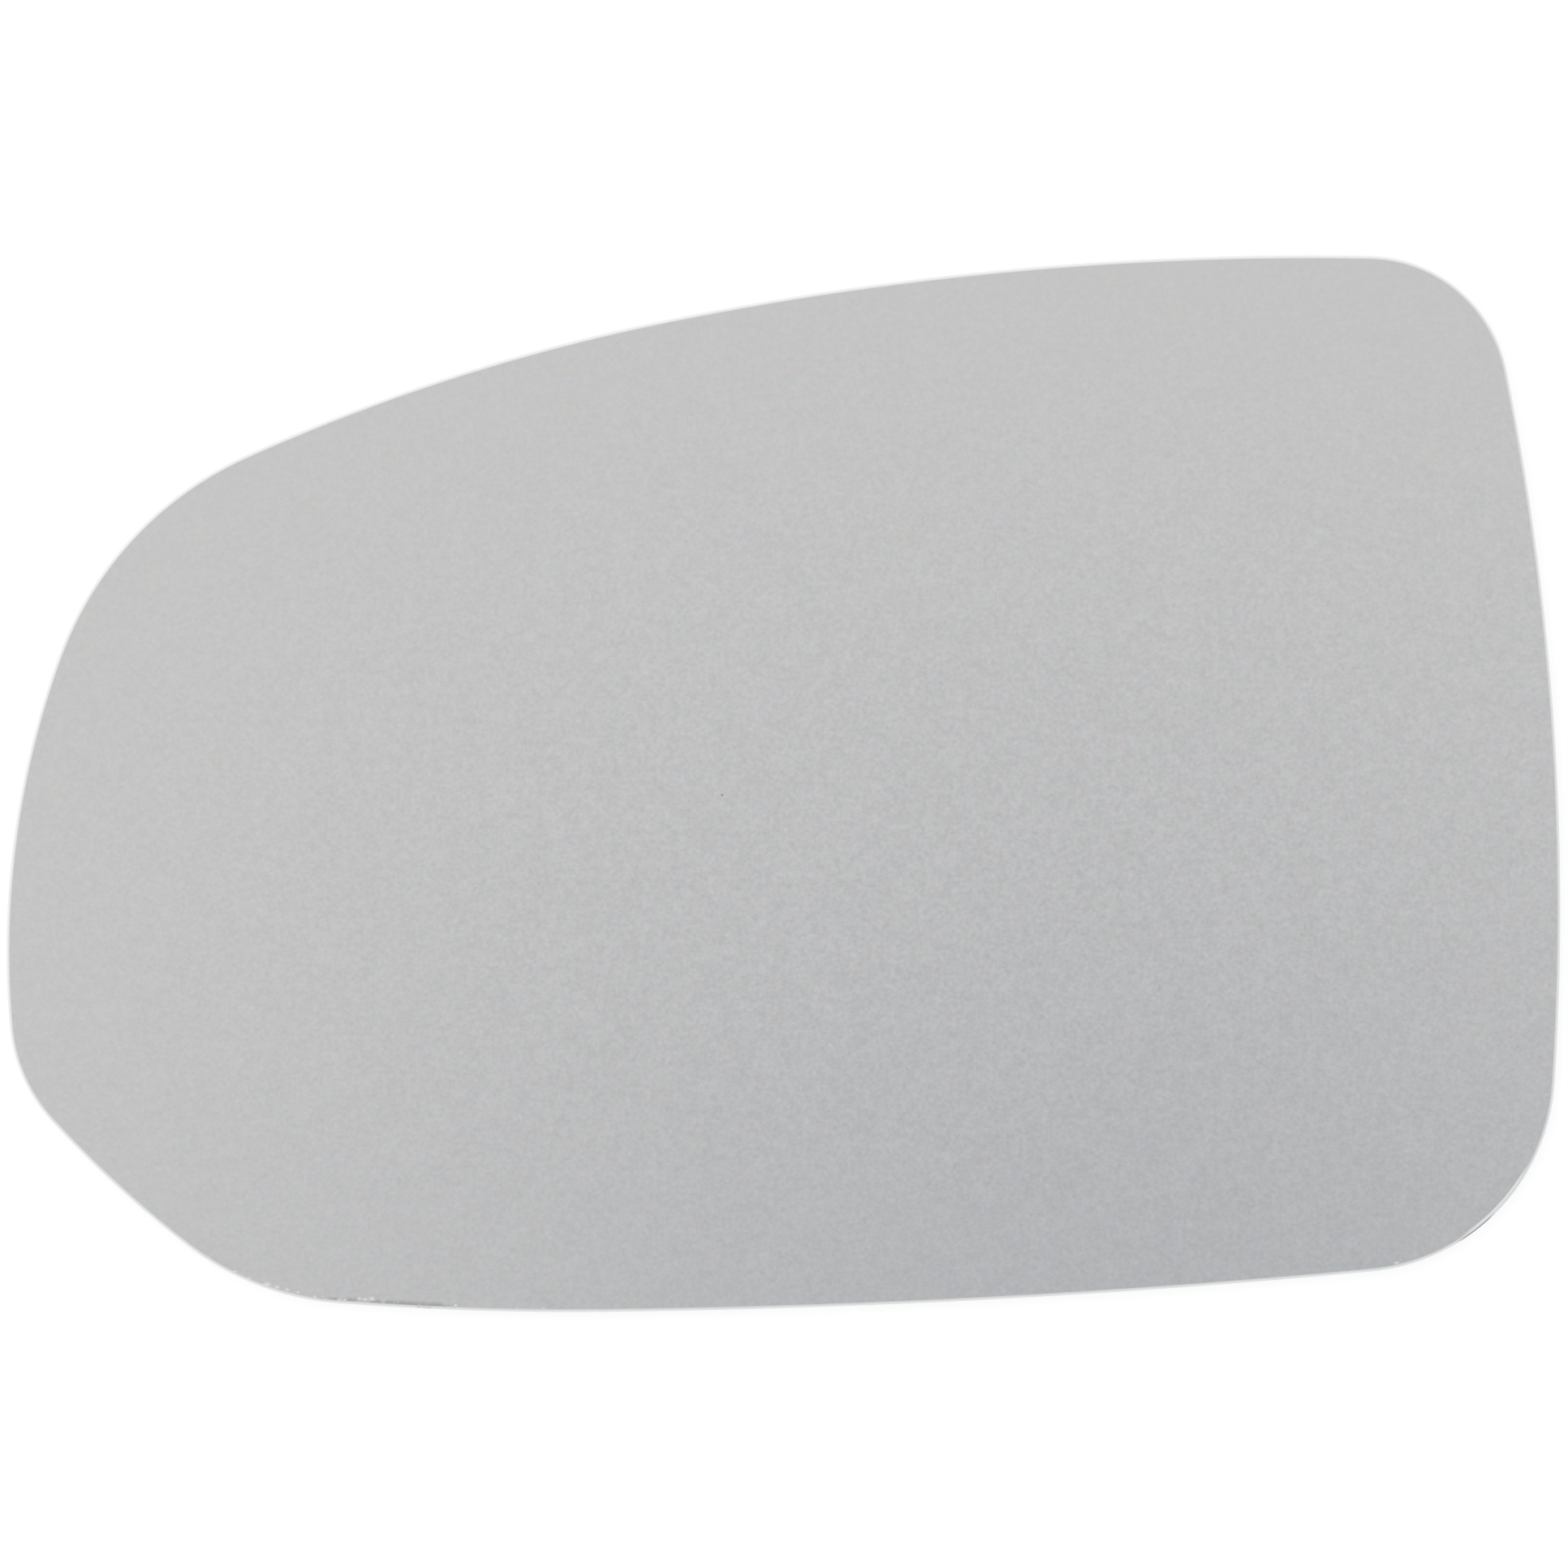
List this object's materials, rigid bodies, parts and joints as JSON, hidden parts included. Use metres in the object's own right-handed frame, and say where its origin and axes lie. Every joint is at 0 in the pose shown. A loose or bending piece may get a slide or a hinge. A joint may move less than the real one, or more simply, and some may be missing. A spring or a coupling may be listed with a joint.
{
  "type": "car door mirror glass",
  "caption": "Flat silvered pane for a left-hand car door mirror, tapering to a rounded outboard end, with a ground rim.",
  "frame": {"origin": "middle of the pane's overall width and height, on its back face", "axes": "+Z out of the mirror face, +X towards the inboard end, +Y towards the top as fitted on the car"},
  "size_m": [0.18, 0.1224, 0.002],
  "materials": {
    "mirror_glass": "polished face over silver, finely ground rim, grey paint on the back"
  },
  "bodies": {
    "root": {"mirror_glass": "mirror_glass"}
  },
  "joints": []
}
